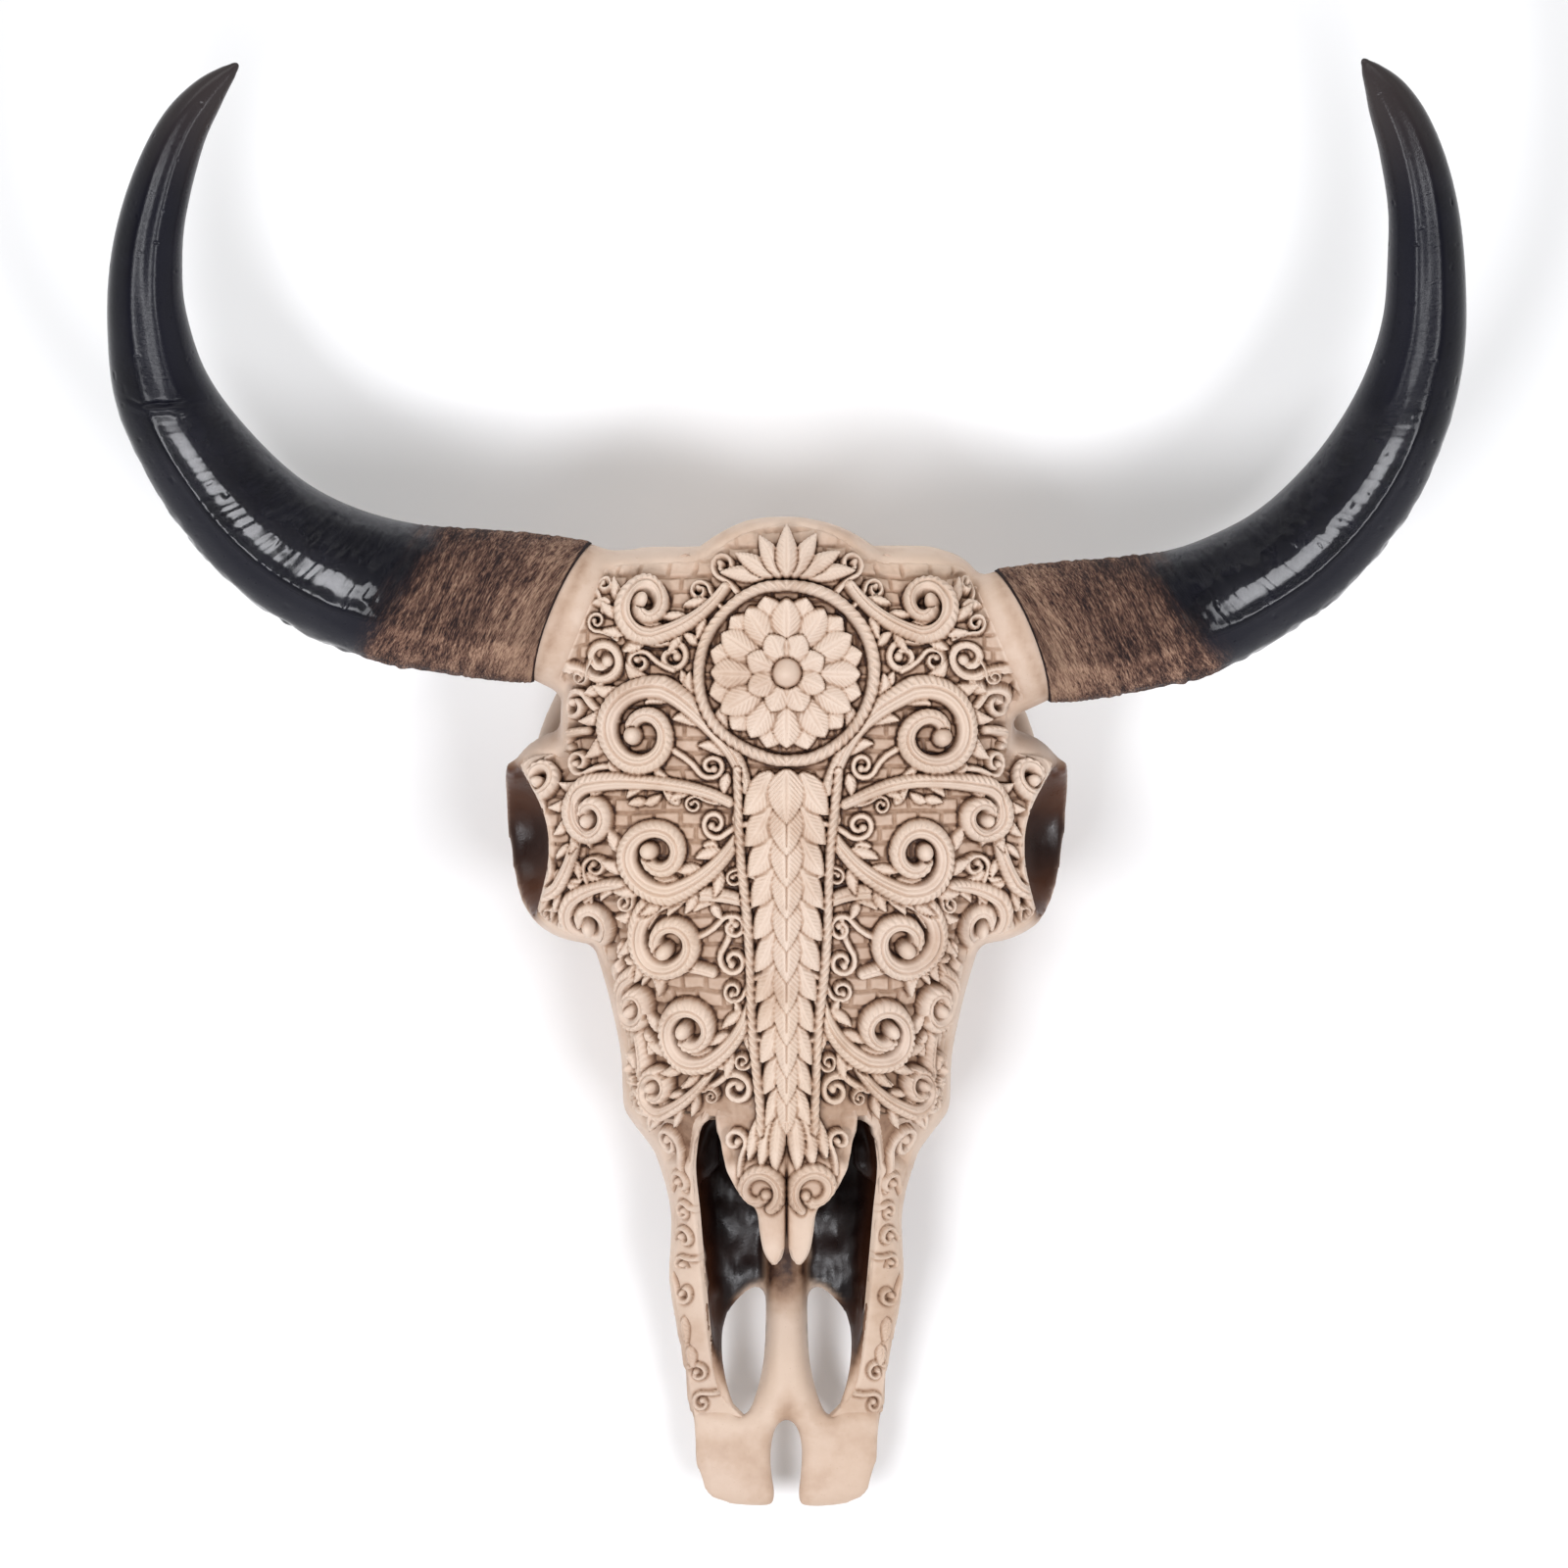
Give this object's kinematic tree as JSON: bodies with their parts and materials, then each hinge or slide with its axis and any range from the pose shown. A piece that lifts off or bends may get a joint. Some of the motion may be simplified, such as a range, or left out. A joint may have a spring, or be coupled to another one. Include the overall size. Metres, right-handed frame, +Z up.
{
  "type": "carved bull skull",
  "caption": "Bull skull with scroll carving over the whole face and two separate dark horns, lying face up on its teeth as a table or shelf ornament.",
  "frame": {"origin": "on the surface the skull lies on, below the middle of its bounding box", "axes": "+X across from the left horn to the right horn as the picture shows them, +Y from the nose to the crown, +Z up out of the face"},
  "size_m": [0.4709, 0.502, 0.1329],
  "materials": {
    "bone": "ivory cast resin, carved in relief, with a brown wash rubbed into the hollows",
    "horn": "glossy blue-black, fading to rough fibrous brown at the collar"
  },
  "bodies": {
    "root": {"skull": "bone", "horn_left": "horn", "horn_right": "horn"}
  },
  "joints": []
}
